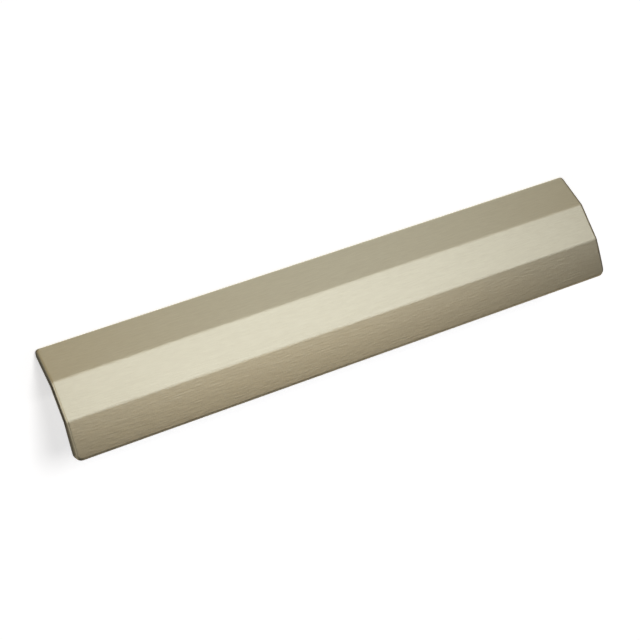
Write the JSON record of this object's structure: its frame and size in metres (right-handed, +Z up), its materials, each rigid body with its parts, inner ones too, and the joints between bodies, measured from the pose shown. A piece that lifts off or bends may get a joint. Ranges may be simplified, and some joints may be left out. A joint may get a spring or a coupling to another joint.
{
  "type": "bar pull",
  "caption": "Open-ended faceted hood pull in brushed satin nickel, screwed to a drawer front from behind, with a finger space under its lower facet.",
  "frame": {"origin": "midway between the screw holes, on the mounting face", "axes": "+X along the pull, +Y into the drawer front that the pull is screwed to, -Y out towards the user, +Z up"},
  "size_m": [0.15, 0.021, 0.0213],
  "materials": {
    "satin_nickel": "zinc casting, plated in warm nickel and brushed along its length to a satin"
  },
  "bodies": {
    "root": {"pull_body": "satin_nickel"}
  },
  "joints": []
}
